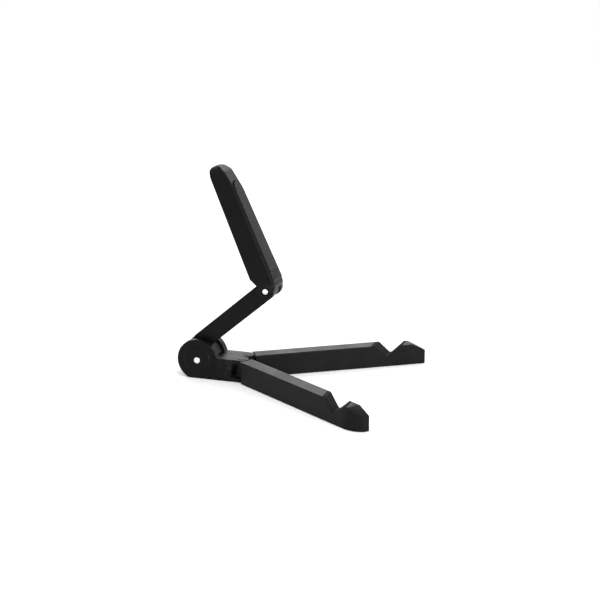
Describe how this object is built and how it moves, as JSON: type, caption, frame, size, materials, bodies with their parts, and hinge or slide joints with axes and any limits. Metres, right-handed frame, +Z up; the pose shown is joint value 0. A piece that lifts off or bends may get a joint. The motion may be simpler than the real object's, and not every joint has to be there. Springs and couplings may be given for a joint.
{
  "type": "tablet stand",
  "caption": "Fold-up tablet stand: two swing-out notched legs, a hub with a swing arm, and a tilting padded head, all in black plastic.",
  "frame": {"origin": "on the table, under the middle of the footprint of the open stand", "axes": "+Z up; the front, where the tablet stands, is -Y; the hub pin and head pin run along X"},
  "size_m": [0.1784, 0.1822, 0.174],
  "materials": {
    "shell": "fine moulded texture, satin black",
    "cover": "moulded, matt black",
    "pad_rubber": "matt soft rubber, dark grey",
    "foot_rubber": "matt rubber, black",
    "nylon": "black nylon, smooth",
    "steel": "bright zinc-plated steel",
    "black_steel": "steel rivet, painted satin black"
  },
  "bodies": {
    "base": {"base_block": "shell", "base_foot": "foot_rubber", "hub_pin": "steel", "left_leg_pin": "black_steel", "right_leg_pin": "black_steel", "left_leg_washer": "nylon", "right_leg_washer": "nylon"},
    "arm": {"arm_shell": "shell", "arm_cover": "cover", "arm_screw_lower": "steel", "arm_screw_upper": "steel", "hub_washer_left": "nylon", "hub_washer_right": "nylon"},
    "head": {"head_shell": "shell", "head_plate": "cover", "head_pad": "pad_rubber", "head_screw_lower": "steel", "head_screw_upper": "steel", "head_pin": "steel", "head_washer_left": "nylon", "head_washer_right": "nylon"},
    "left_leg_assembly": {"left_leg": "shell", "left_leg_cover": "cover", "left_leg_screw": "steel", "left_grip": "pad_rubber", "left_foot": "foot_rubber"},
    "right_leg_assembly": {"right_leg": "shell", "right_leg_cover": "cover", "right_leg_screw": "steel", "right_grip": "pad_rubber", "right_foot": "foot_rubber"}
  },
  "joints": [
    {"name": "arm_tilt", "type": "hinge", "parent": "base", "child": "arm", "pos_m": [0, 0.07402, 0.0154], "axis": [-1, 0, 0], "range_deg": [-37.5, 50]},
    {"name": "head_tilt", "type": "hinge", "parent": "arm", "child": "head", "pos_m": [0, 0.01568, 0.07724], "axis": [-1, 0, 0], "range_deg": [-77, 35]},
    {"name": "left_leg_swing", "type": "hinge", "parent": "base", "child": "left_leg_assembly", "pos_m": [-0.00645, 0.03782, 0.0093], "axis": [0, 0, 1], "range_deg": [0, 33.2]},
    {"name": "right_leg_swing", "type": "hinge", "parent": "base", "child": "right_leg_assembly", "pos_m": [0.00645, 0.03782, 0.0093], "axis": [0, 0, -1], "range_deg": [0, 33.2]}
  ]
}
